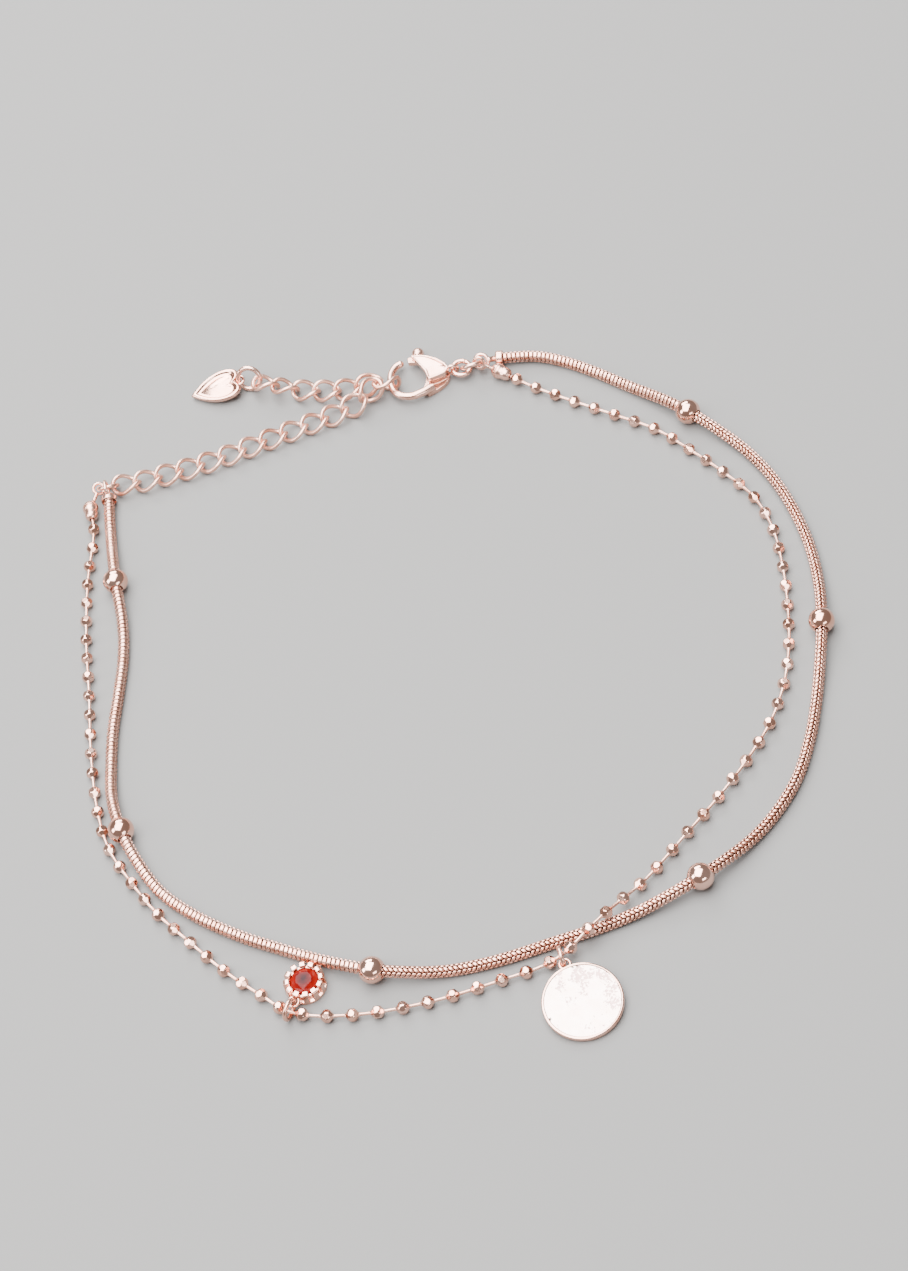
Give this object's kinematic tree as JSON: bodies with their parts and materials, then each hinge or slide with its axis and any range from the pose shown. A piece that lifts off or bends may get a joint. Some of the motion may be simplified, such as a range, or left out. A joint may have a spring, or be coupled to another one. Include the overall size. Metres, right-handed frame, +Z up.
{
  "type": "charm anklet",
  "caption": "Closed anklet lying flat: a smooth snake chain with spacer beads and a fine ball chain with disc and claw-set stone charms, on a lobster clasp and extender.",
  "frame": {"origin": "centre of the footprint, on the surface that the anklet lies on", "axes": "+Z up from the surface; +Y from the disc charm across the loop to the clasp; +X to the viewer's right when the disc charm is nearest the viewer"},
  "size_m": [0.0818, 0.0974, 0.0029],
  "materials": {
    "snake_chain_metal": "polished rose gold, woven plates",
    "ball_chain_metal": "polished rose gold, diamond cut",
    "bead_metal": "mirror polished rose gold",
    "disc_metal": "satin rose gold with a polished edge",
    "setting_metal": "polished rose gold",
    "red_stone": "polished dark red cut stone",
    "finding_metal": "polished rose gold",
    "link_metal": "polished rose gold",
    "tag_metal": "polished rose gold"
  },
  "bodies": {
    "anklet": {"snake_chain": "snake_chain_metal", "stopper_bead_1": "bead_metal", "stopper_bead_2": "bead_metal", "stopper_bead_3": "bead_metal", "stopper_bead_4": "bead_metal", "stopper_bead_5": "bead_metal", "stopper_bead_6": "bead_metal", "ball_chain": "ball_chain_metal", "disc_charm": "disc_metal", "disc_jump_ring": "finding_metal", "gem_setting": "setting_metal", "gem_stone": "red_stone", "gem_jump_ring": "finding_metal", "snake_end_cap_right": "finding_metal", "snake_end_cap_left": "finding_metal", "bead_tip_right": "finding_metal", "bead_tip_left": "finding_metal", "clasp_ring": "finding_metal", "junction_ring_right": "finding_metal", "junction_ring_left": "finding_metal", "tag_jump_ring": "finding_metal", "extender_link_01": "link_metal", "extender_link_02": "link_metal", "extender_link_03": "link_metal", "extender_link_04": "link_metal", "extender_link_05": "link_metal", "extender_link_06": "link_metal", "extender_link_07": "link_metal", "extender_link_08": "link_metal", "extender_link_09": "link_metal", "extender_link_10": "link_metal", "extender_link_11": "link_metal", "extender_link_12": "link_metal", "extender_link_13": "link_metal", "extender_link_14": "link_metal", "extender_link_15": "link_metal", "extender_link_16": "link_metal", "extender_link_17": "link_metal", "extender_link_18": "link_metal", "extender_link_19": "link_metal", "extender_link_20": "link_metal", "clasp_body": "finding_metal", "heart_tag": "tag_metal"},
    "lever": {"clasp_lever": "finding_metal"}
  },
  "joints": [
    {"name": "clasp_lever_hinge", "type": "hinge", "parent": "anklet", "child": "lever", "pos_m": [0.00695, 0.04053, 0.00097], "axis": [0, 0, 1], "range_deg": [0, 22], "stiffness_Nm_per_rad": 0.002, "springref_deg": -11.46}
  ]
}
